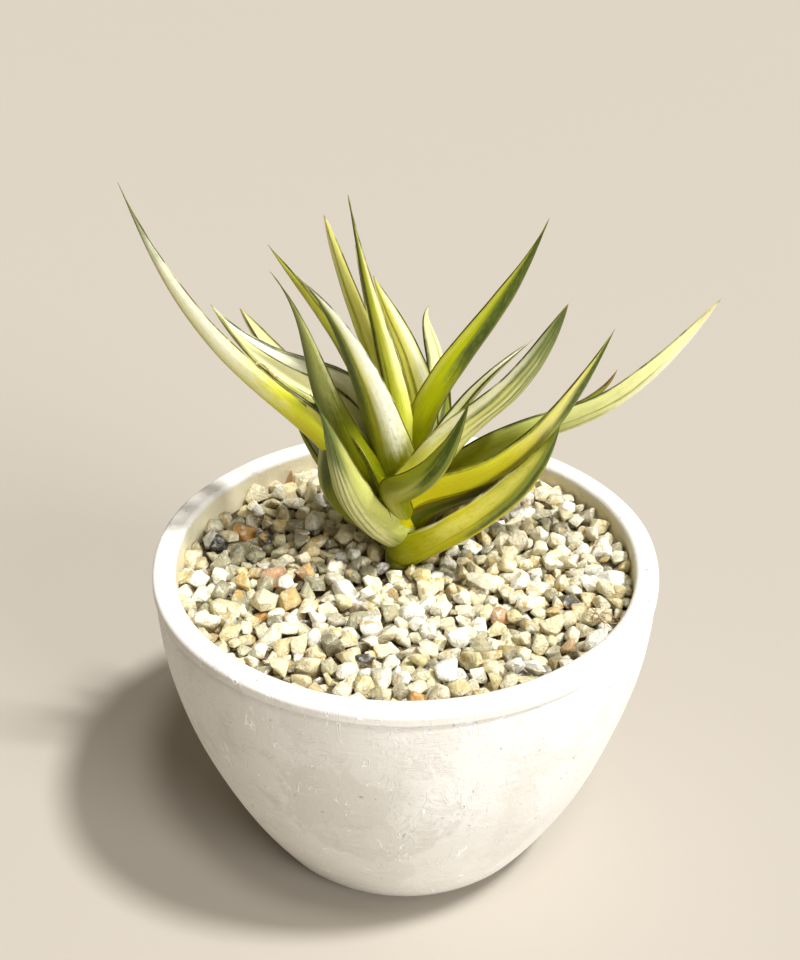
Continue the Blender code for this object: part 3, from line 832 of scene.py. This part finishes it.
        (2, 4, 101), (-13, -8, 134), (5, -14, 111), (17, -15, 155),
        20, 243, 60, 1.2, 1.0, (OLIVE, OLIVE, MOSS),
        (STRAW, 0.2, -0.3, 0.3, 0.2, 0, 0.55, 0.55, 0.3),
        (MOSS, -0.5, -0.5, 0.2, 0.3, 0.35, 1, 0.7, 0.15),
        (PINE, 0.15, 0.05, 0.03, 0.4, 0.5, 1, 0.95, 0.12),
        (SAGE, 0.65, 0.5, 0.1, 0.2, 0.4, 1, 0.8, 0.1),
        (STRAW, 0.93, 0.9, 0.08, 0.12, 0.4, 0.9, 0.8, 0.08),
        (PINE, -0.2, -0.4, 0.02, 0.15, 0.6, 1, 0.8, 0.08),
    ],
    "leaf_back_left_low": [
        (-2, 6, 101), (-10, 13, 112), (-26, 28, 108), (-35, 35, 125),
        17, 142, 60, 2.2, 1.0, (OLIVE, YELLOW, MOSS),
        (BLUE_GREEN, 0, 0, 0.1, 0.45, 0.3, 1, 0.9, 0.15),
        (PINE, 0.5, 0.4, 0.04, 0.2, 0.3, 1, 0.8, 0.08),
        (CREAM, -0.7, -0.7, 0.15, 0.2, 0.2, 0.9, 0.7, 0.2),
    ],
    "leaf_left_low_hidden": [
        (-4, 6, 100), (-8, 8, 105), (-24, 13, 110), (-33, 17, 134),
        18, 190, 55, 2.2, 1.0, (OLIVE, OLIVE, MOSS),
        (PINE, -0.2, 0, 0.1, 0.4, 0.2, 1, 0.7, 0.2),
    ],
    "leaf_right_low_inner": [
        (1, 5, 103), (2, 1, 118), (30, -3, 114), (42, -6, 140),
        26, 280, 55, 1.3, 1.2, (DEEP_OLIVE, DEEP_OLIVE, MOSS),
        (BROWN, 0.3, 0.2, 0.03, 0.03, 0, 0.9, 0.9, 0.04),
        (PINE, -0.2, 0, 0.04, 0.05, 0, 1, 0.85, 0.06),
        (TAN, 0.5, 0.45, 0.025, 0.025, 0, 0.9, 0.9, 0.03),
        (PINE, 0.75, 0.7, 0.04, 0.04, 0, 1, 0.8, 0.05),
        (MUSTARD, -0.5, -0.4, 0.06, 0.06, 0, 1, 0.5, 0.06),
        (MUSTARD, -0.85, -0.8, 0.08, 0.08, 0, 1, 0.6, 0.08),
        (BROWN, -0.35, -0.2, 0.025, 0.025, 0, 0.9, 0.8, 0.03),
        (MUSTARD, 0.1, 0.1, 0.06, 0.06, 0, 1, 0.5, 0.08),
    ],
    "leaf_back_right_low": [
        (1, 6, 98), (12, 15, 106), (28, 30, 104), (36, 38, 119),
        17, 40, 60, 2.2, 1.0, (OLIVE, LEMON, PALE_GREEN),
        (BLUE_GREEN, -0.3, -0.1, 0.06, 0.3, 0.3, 1, 0.9, 0.12),
        (SAGE, 0.3, 0.3, 0.06, 0.3, 0.35, 1, 0.8, 0.1),
        (IVORY, 0.7, 0.7, 0.15, 0.15, 0.2, 0.85, 0.7, 0.15),
    ],
    "leaf_left_low_inner": [
        (-2, 7, 98), (-34, 6, 111), (-18, 3, 123), (-22, 1, 150),
        17, 228, 55, 2.1, 0.9, (OLIVE, MOSS, SAGE),
        (PALE_GREEN, -0.5, -0.4, 0.3, 0.4, 0.15, 0.8, 0.7, 0.25),
        (PINE, 0, 0.1, 0.1, 0.6, 0.45, 1, 0.8, 0.2),
        (CREAM, -0.9, -0.9, 0.08, 0.12, 0.3, 1, 0.6, 0.1),
    ],
    "leaf_front_left_low": [
        (0, 2, 100), (-20, -3, 109), (-17, -9, 139), (-26, -9, 154),
        17, 268, 60, 2.2, 1.6, (MOSS, PALE_GREEN, SAGE),
        (CREAM, -0.2, -0.4, 0.5, 0.5, 0.08, 0.6, 0.85, 0.3),
        (SAGE, 0, 0.1, 0.1, 0.9, 0.6, 1, 0.8, 0.15),
        (SAGE, -0.75, -0.6, 0.12, 0.15, 0.15, 1, 0.5, 0.1),
        (BLUE_GREEN, -0.5, -0.35, 0.04, 0.06, 0.2, 1, 0.9, 0.08),
        (BLUE_GREEN, -0.25, -0.1, 0.03, 0.06, 0.14, 1, 0.9, 0.07),
        (PINE, 0, 0.1, 0.02, 0.06, 0.16, 1, 0.8, 0.06),
        (SAGE, 0.25, 0.3, 0.03, 0.06, 0.25, 1, 0.6, 0.06),
        (STRAW, 0.7, 0.65, 0.35, 0.2, 0, 0.7, 0.5, 0.2),
        (MOSS, -0.7, -0.6, 0.25, 0.2, 0, 0.16, 0.5, 0.2),
    ],
    # Painted light: the thin ivory line along the left margin is a painted highlight on the leaf's upper
    # edge.
    "leaf_front_right_low": [
        (1, 3, 93), (-7, -2, 96), (30, -9, 108), (42, -12, 146),
        15, 260, 60, 3.8, 1.1, (OLIVE, MUSTARD, MOSS),
        (LEMON, -0.4, -0.5, 0.3, 0.3, 0.25, 0.85, 0.6, 0.3),
        (SAGE, 0.3, 0.1, 0.08, 0.4, 0.35, 1, 0.85, 0.15),
        (PINE, 0.35, 0.4, 0.04, 0.25, 0.38, 1, 0.85, 0.08),
        (IVORY, -0.94, -0.92, 0.03, 0.05, 0.2, 0.7, 0.9, 0.06),
        (PALE_GREEN, 0.85, 0.85, 0.12, 0.1, 0.2, 0.8, 0.7, 0.1),
        (OLIVE, -0.1, 0, 0.04, 0.03, 0.1, 0.8, 0.7, 0.05),
    ],
}


def curve_points(path, count):
    """Evenly spaced points and directions along a Bezier curve."""
    heel, rise, lean, tip = [np.array(corner, float) for corner in path]
    t = np.linspace(0, 1, 800)[:, None]
    fine = heel * (1 - t) ** 3 + 3 * rise * t * (1 - t) ** 2 + 3 * lean * t * t * (1 - t) + tip * t**3
    travelled = np.concatenate([[0], np.cumsum(np.linalg.norm(np.diff(fine, axis=0), axis=1))])
    wanted = np.linspace(0, travelled[-1], count)
    centres = np.stack([np.interp(wanted, travelled, fine[:, axis]) for axis in range(3)], 1)
    ways = np.gradient(centres, axis=0)
    return centres, ways / np.linalg.norm(ways, axis=1)[:, None], travelled[-1]


def smooth_step(low, high, value):
    share = np.clip((value - low) / (high - low), 0, 1)
    return share * share * (3 - 2 * share)


def leaf_mesh(path, width, back, fold, fullness, taper, seed, waisted=False):
    """A leaf lofted along its curve: a channelled crescent that opens into a collar at the base."""
    centres, ways, length = curve_points(path, STATIONS)
    facing = math.radians(back)
    turns = np.linspace(-1, 1, 2 * HALF_POINTS + 1)
    chance = np.random.default_rng(seed)
    waves = chance.uniform(0, 2 * math.pi, 2)
    points, across, along, margin, grain = [], [], [], [], []
    for station in range(STATIONS):
        share = station / (STATIONS - 1)
        blade = (1 - share**fullness) ** taper
        sheath = SHEATH_SHARE * max(0.0, 1 - share / SHEATH_LENGTH) ** 2
        if waisted:
            sheath = -WAIST_SHARE * max(0.0, 1 - share / WAIST_LENGTH) ** 1.5
        spine = SPINE_RADIUS * (1 - 0.6 * smooth_step(0.97, 1, share))
        half_width = max(spine, width / 2 * (blade + sheath))
        waver = 1 + 0.012 * math.sin(share * 23 + waves[0]) + 0.01 * math.sin(share * 41 + waves[1])
        half_width *= waver
        opening = max(0.0, 1 - share / CLASP_LENGTH) ** CLASP_POWER
        closing = smooth_step(TIP_START, 1.0, share)
        angle = math.radians(fold + (CLASP_ANGLE - fold) * opening + (TIP_ANGLE - fold) * closing)
        radius = half_width / angle
        depth = radius * (1 - math.cos(min(angle, math.pi / 2)))
        thickness = min(LEAF_THICKNESS * (1 - TIP_THINNING * share), SPINE_DEPTH * half_width)
        inward = np.array([-math.cos(facing), -math.sin(facing), UPWARD_TILT])
        inward -= ways[station] * inward.dot(ways[station])
        inward /= np.linalg.norm(inward)
        sideways = np.cross(ways[station], inward)
        middle = centres[station] + inward * (radius - depth / 2)
        for turn, face in [(t, 0) for t in turns] + [(t, 1) for t in turns[::-1]]:
            sink = 0.0
            if face:
                body = thickness * (1 - abs(turn) ** MARGIN_POWER)
                body += MARGIN_THICKNESS * (1 - 0.6 * abs(turn) ** 6)
                sink = min(body, DEEPEST_SINK * radius)
            out = -inward * math.cos(angle * turn) + sideways * math.sin(angle * turn)
            points.append(middle + out * (radius - sink))
            across.append(-turn)
            along.append(share)
            margin.append(half_width * (1 - abs(turn)))
            grain.append((-turn * width / 2, share * length, seed * 7.3 + face * 3.1))
    ring = 2 * len(turns)
    faces = []
    for station in range(STATIONS - 1):
        low = station * ring
        for step in range(ring):
            after = (step + 1) % ring
            faces.append((low + step, low + after, low + ring + after, low + ring + step))
    for low in (0, (STATIONS - 1) * ring):
        for step in range(ring // 2 - 1):
            faces.append((low + step, low + step + 1, low + ring - 2 - step, low + ring - 1 - step))
    layers = {"across": across, "along": along, "margin": margin, "grain": grain}
    return points, faces, layers


def make_leaf_skin(name, ground, stripes):
    """Living leaf skin: ground colours along the leaf, its stripes, then grain, specks and margin."""
    material, new = start_finish(name + "_skin")
    across = new.layer("across")
    along = new.layer("along")
    margin = new.layer("margin")
    grain = new.layer("grain", out=1)
    streaks = grain.stretch(1.5, 0.06, 1).noise(1, 3, 0.6)
    threads = grain.stretch(4.2, 0.10, 1).noise(1, 3, 0.65)
    mottle = grain.stretch(0.9, 0.55, 1).noise(1, 4, 0.62)
    drift = grain.stretch(0.05, 0.045, 1).noise(1, 1)
    blotches = grain.stretch(0.28, 0.14, 1).noise(1, 3, 0.55)
    place = along + (blotches - 0.5) * 0.22
    base, middle, tip = ground
    # The base colour is partly painted shade near the stalk, over the leaf's own tone.
    colour = place.ramp((0.06, base), (0.42, middle), (0.92, tip))
    for shade, from_middle, to_middle, from_half, to_half, start, end, strength, softness in stripes:
        centre = from_middle + along * (to_middle - from_middle)
        half = from_half + along * (to_half - from_half)
        off = abs(across + (drift - 0.5) * 0.25 - centre) - half + (streaks - 0.5) * (0.18 + softness)
        mask = off.step(softness, -softness)
        mask = mask * (place + (streaks - 0.5) * 0.2).step(start - 0.1, start + 0.1)
        mask = mask * along.step(end + 0.08, end - 0.04)
        mask = mask * (1 - (mottle - 0.42).step(0.0, 0.3) * 0.3)
        colour = colour.mix(shade, mask * strength)
    colour = colour.mix("#565C10", threads.step(0.54, 0.74) * 0.2)
    colour = colour.mix("#F6F27C", threads.step(0.44, 0.25) * 0.16)
    colour = colour.mix("#6E760E", mottle.step(0.58, 0.75) * 0.16)
    specks = grain.stretch(1.6, 1.3, 1).noise(1, 1).step(0.79, 0.83)
    colour = colour.mix("#4B3A17", specks * 0.5)
    edge = (margin + (streaks - 0.5) * 0.2).step(0.58, 0.28) * along.step(0.99, 0.9)
    edge = edge * (0.5 + blotches.step(0.38, 0.55) * 0.5)
    colour = colour.mix(drift.ramp((0.42, "#131E08"), (0.62, "#573B14")), edge * 0.9)
    dry = (along + (mottle - 0.5) * 0.02).step(0.98, 0.995)
    colour = colour.mix("#A07A34", dry * 0.8)
    height = threads * 0.5 + streaks * 0.4 + mottle * 0.25 - edge * 0.4
    return set_finish(material, {
        "Base Color": colour, "Roughness": 0.42 + (mottle - 0.5) * 0.25 + dry * 0.3,
        "Specular IOR Level": 0.16,
        "Normal": height.bump(0.00035), "Subsurface Weight": 0.16,
        "Subsurface Radius": (0.8, 1.0, 0.25), "Subsurface Scale": 0.0022,
    })


for seed, (name, traits) in enumerate(LEAVES.items()):
    path = traits[:4]
    width, back, fold, fullness, taper, ground, *stripes = traits[4:]
    points, faces, layers = leaf_mesh(path, width, back, fold, fullness, taper, seed, name in WAISTED)
    skin = make_leaf_skin(name, ground, stripes)
    blade = name.replace("leaf_", "blade_")
    add_piece(blade, points, faces, skin, "leaf", [name], **layers)


# Dry remains: the withered tip of one leaf, curled over like a hook, and a tuft of dead root fibres that
# lies on the stones by the pot's wall. Both are thin dry strands.
HOOK = [
    (-36.1, 4.5, 152.3), (-38.1, 5.5, 153.8), (-39.4, 6.3, 155.5), (-40.8, 6.6, 156.0), (-42.3, 6.6, 155.1),
]
TUFT_CENTRE = (54.5, -29.0, 93.4)
TUFT_SPREAD = 1.1
TUFT_STRANDS = 15
STRAND_STEPS = 22
STRAND_SIDES = 6


def strand(path, start_radius, end_radius):
    """A thin round strand along a smooth line through some points."""
    path = np.array(path, float)
    knots = np.arange(len(path))
    wanted = np.linspace(0, len(path) - 1, STRAND_STEPS)
    line = np.stack([np.interp(wanted, knots, path[:, axis]) for axis in range(3)], 1)
    for _ in range(4):
        line[1:-1] = (line[:-2] + 2 * line[1:-1] + line[2:]) / 4
    ways = np.gradient(line, axis=0)
    points, faces = [], []
    for step, (centre, way) in enumerate(zip(line, ways)):
        side = np.cross(way, (0.2, 0.3, 0.9))
        side /= np.linalg.norm(side)
        lift = np.cross(way, side)
        lift /= np.linalg.norm(lift)
        radius = start_radius + (end_radius - start_radius) * step / (STRAND_STEPS - 1)
        for corner in range(STRAND_SIDES):
            turn = corner * 2 * math.pi / STRAND_SIDES
            points.append(centre + (side * math.cos(turn) + lift * math.sin(turn)) * radius)
    for step in range(STRAND_STEPS - 1):
        low, high = step * STRAND_SIDES, (step + 1) * STRAND_SIDES
        for corner in range(STRAND_SIDES):
            after = (corner + 1) % STRAND_SIDES
            faces.append((low + corner, low + after, high + after, high + corner))
    last = (STRAND_STEPS - 1) * STRAND_SIDES
    faces += [tuple(range(STRAND_SIDES)), tuple(range(last, last + STRAND_SIDES))]
    return np.array(points), faces


def make_straw(name, dark, pale):
    material, new = start_finish(name)
    place = new.place()
    bands = place.noise(0.9, 4, 0.6)
    colour = bands.ramp((0.35, dark), (0.65, pale))
    return set_finish(material, {
        "Base Color": colour, "Roughness": 0.6 + bands * 0.3, "Normal": bands.bump(0.0004),
    })


points, faces = strand(HOOK, start_radius=0.7, end_radius=0.4)
add_piece("withered_hook", points, faces, make_straw("withered_skin", "#B98A50", "#F6ECC8"), "leaf")

chance = random.Random(9)
bodies, sides = [], []
for _ in range(TUFT_STRANDS):
    turn = chance.uniform(-1.1, -0.4) + chance.choice((0.0, math.pi))
    reach = chance.uniform(2.0, 5.0)
    start = [chance.gauss(0, TUFT_SPREAD), chance.gauss(0, TUFT_SPREAD), chance.uniform(-0.6, 0.8)]
    path = [Vector(TUFT_CENTRE) + Vector(start)]
    for _ in range(4):
        turn += chance.gauss(0, 0.6)
        path.append(path[-1] + Vector((math.cos(turn), math.sin(turn), chance.gauss(0, 0.22))) * reach / 3)
    points, faces = strand([p[:] for p in path], chance.uniform(0.10, 0.2), 0.07)
    shift = sum(len(body) for body in bodies)
    bodies.append(points)
    sides += [tuple(corner + shift for corner in face) for face in faces]
straw = make_straw("root_straw", "#7A5A34", "#D8BE8C")
add_piece("dead_root_tuft", np.concatenate(bodies), sides, straw, "gravel")


# The stage: a plain pale floor, two soft lamps overhead, a broad soft light from the right and an even
# pale surround. The camera looks down on the plant from the front.
FLOOR_REACH = 3.0
FLOOR_GAP = 0.0003
floor_mesh = bpy.data.meshes.new("floor")
corners = [(x * FLOOR_REACH, y * FLOOR_REACH, 0) for x, y in ((-1, -1), (1, -1), (1, 1), (-1, 1))]
floor_mesh.from_pydata(corners, [], [(0, 1, 2, 3)])
floor = bpy.data.objects.new("floor", floor_mesh)
floor.location.z = -FLOOR_GAP
floor_paint, _ = start_finish("pale_floor")
set_finish(floor_paint, {"Base Color": "#ADA69B", "Roughness": 0.8})
floor_mesh.materials.append(floor_paint)
bpy.context.scene.collection.objects.link(floor)

surround = bpy.data.worlds.new("surround")
surround.use_nodes = True
surround.node_tree.nodes["Background"].inputs["Color"].default_value = hue("#FFEFD6")
surround.node_tree.nodes["Background"].inputs["Strength"].default_value = 0.2
bpy.context.scene.world = surround


def add_lamp(name, direction, spread, strength, colour):
    """A distant soft lamp. The direction points to it, and spread is its width in degrees."""
    data = bpy.data.lights.new(name, "SUN")
    data.angle = math.radians(spread)
    data.energy = strength
    data.color = colour[:3]
    lamp = bpy.data.objects.new(name, data)
    lamp.rotation_euler = Vector(direction).to_track_quat("Z", "Y").to_euler()
    bpy.context.scene.collection.objects.link(lamp)


add_lamp("key", (0.40, -0.16, 0.9), spread=7.0, strength=3.65, colour=hue("#FFFFFF"))
add_lamp("second", (0.14, -0.28, 0.95), spread=9.0, strength=0.9, colour=hue("#FFFCF6"))
add_lamp("side", (0.70, -0.68, 0.38), spread=28.0, strength=2.35, colour=hue("#FFFFFF"))

eye = bpy.data.cameras.new("camera")
eye.lens = 48.75
eye.sensor_width = 36
camera = bpy.data.objects.new("camera", eye)
camera.location = (-0.0016, -0.3240, 0.3124)
camera.rotation_euler = (math.radians(59.5), 0, 0)
bpy.context.scene.collection.objects.link(camera)
bpy.context.scene.camera = camera
bpy.context.scene.view_settings.view_transform = "Standard"
